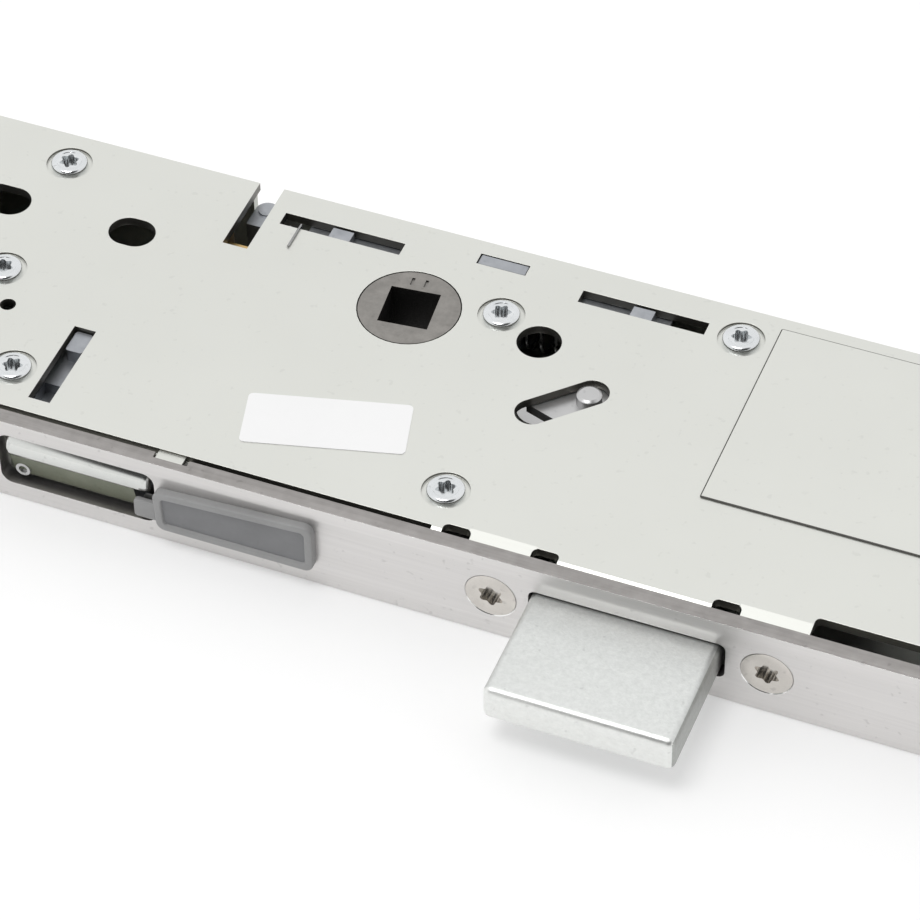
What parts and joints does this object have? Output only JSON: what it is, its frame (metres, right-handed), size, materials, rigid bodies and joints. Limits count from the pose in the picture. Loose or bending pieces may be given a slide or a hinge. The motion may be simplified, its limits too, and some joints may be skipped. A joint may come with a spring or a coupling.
{
  "type": "multipoint door lock",
  "caption": "Handle-operated multipoint door lock: central case with latch, deadbolt and cylinder opening, hook cases linked by rails, long flat faceplate.",
  "frame": {"origin": "follower axis at the underside of the case", "axes": "+X along the lock towards its lower end, +Y from the faceplate into the door, +Z across the lock, along the spindle"},
  "size_m": [1.77, 0.0832, 0.0166],
  "materials": {
    "stainless": "brushed stainless strip",
    "screw": "turned screw heads",
    "tray": "zinc plated sheet",
    "cover": "pale zinc plated sheet",
    "plated": "zinc plated steel",
    "steel": "stamped steel",
    "follower": "sintered dark steel",
    "zinc": "bluish die cast zinc",
    "bolt": "matte plated steel",
    "brass": "plain brass",
    "spring": "drawn spring wire",
    "clip": "grey moulded plastic",
    "guide": "dark moulded plastic",
    "label": "white film label"
  },
  "bodies": {
    "lock_body": {"faceplate": "stainless", "faceplate_screws": "screw", "case_tray": "tray", "case_cover": "cover", "cylinder_guard_plate": "cover", "cover_screws": "plated", "case_pillars": "steel", "return_spring_upper": "spring", "return_spring_lower": "spring", "spring_stop": "zinc", "latch_spring": "spring", "latch_guide": "steel", "back_block": "zinc", "wire_spring": "spring", "key_lever_pivot": "steel", "key_lever_spring": "spring", "inspection_label": "label", "rail_guides": "guide", "hook_case_upper": "tray", "hook_cover_upper": "cover", "hook_pivot_upper": "steel", "hook_rivets_upper": "plated", "hook_case_lower": "tray", "hook_cover_lower": "cover", "hook_pivot_lower": "steel", "hook_rivets_lower": "plated"},
    "follower_body": {"follower": "follower"},
    "return_slide_body": {"return_slide": "zinc"},
    "drive_slide_body": {"drive_slide": "steel", "deadbolt_drive_pin": "steel", "upper_rail": "steel", "lower_rail": "steel", "rail_rivets": "plated", "driver_rivets": "plated", "hook_driver_upper": "steel", "hook_driver_lower": "steel"},
    "deadbolt_body": {"deadbolt": "bolt"},
    "deadlock_body": {"deadlock_plate": "steel", "deadlock_pin": "steel"},
    "latch_body": {"latch_bolt": "zinc", "latch_screw": "steel", "latch_tail": "steel", "latch_carrier": "brass"},
    "hook_upper_body": {"hook_upper": "zinc", "hook_pin_upper": "steel"},
    "hook_lower_body": {"hook_lower": "zinc", "hook_pin_lower": "steel"},
    "key_lever_body": {"key_lever": "zinc"},
    "clip_body": {"transit_clip": "clip"}
  },
  "joints": [
    {"name": "follower_turn", "type": "hinge", "parent": "lock_body", "child": "follower_body", "pos_m": [0, 0, 0.008], "axis": [0, 0, 1], "range_deg": [-45, 0], "stiffness_Nm_per_rad": 0.3},
    {"name": "drive_slide_travel", "type": "slide", "parent": "lock_body", "child": "drive_slide_body", "axis": [1, 0, 0], "range_m": [-0.02, 0]},
    {"name": "deadbolt_travel", "type": "slide", "parent": "lock_body", "child": "deadbolt_body", "axis": [0, 1, 0], "range_m": [0, 0.02]},
    {"name": "deadlock_travel", "type": "slide", "parent": "lock_body", "child": "deadlock_body", "axis": [0.7071, 0.7071, 0], "range_m": [-0.00905, 0]},
    {"name": "return_slide_travel", "type": "slide", "parent": "lock_body", "child": "return_slide_body", "axis": [1, 0, 0], "range_m": [0, 0.00813], "deforming": ["return_spring_upper", "return_spring_lower"]},
    {"name": "hook_upper_turn", "type": "hinge", "parent": "lock_body", "child": "hook_upper_body", "pos_m": [-0.64, -0.033, 0.008], "axis": [0, 0, 1], "range_deg": [0, 80]},
    {"name": "hook_lower_turn", "type": "hinge", "parent": "lock_body", "child": "hook_lower_body", "pos_m": [0.7, -0.033, 0.008], "axis": [0, 0, 1], "range_deg": [0, 80]},
    {"name": "latch_travel", "type": "slide", "parent": "lock_body", "child": "latch_body", "axis": [0, -1, 0], "range_m": [0, 0.0115], "deforming": ["latch_spring"]},
    {"name": "key_lever_turn", "type": "hinge", "parent": "lock_body", "child": "key_lever_body", "pos_m": [0.081, -0.019, 0.007], "axis": [0, 0, 1], "range_deg": [0, 20], "stiffness_Nm_per_rad": 0.02, "deforming": ["key_lever_spring"]},
    {"name": "clip_pull", "type": "slide", "parent": "lock_body", "child": "clip_body", "axis": [0, -1, 0], "range_m": [0, 0.014]}
  ],
  "couplings": [
    {"joint": "follower_turn", "follows": "drive_slide_travel", "rad_per_m": 39.27},
    {"joint": "deadbolt_travel", "follows": "drive_slide_travel", "ratio": -0.99999},
    {"joint": "deadlock_travel", "follows": "drive_slide_travel", "ratio": 0.4525},
    {"joint": "return_slide_travel", "follows": "drive_slide_travel", "ratio": -0.40655},
    {"joint": "hook_upper_turn", "follows": "drive_slide_travel", "rad_per_m": -69.812},
    {"joint": "hook_lower_turn", "follows": "drive_slide_travel", "rad_per_m": -69.812}
  ]
}
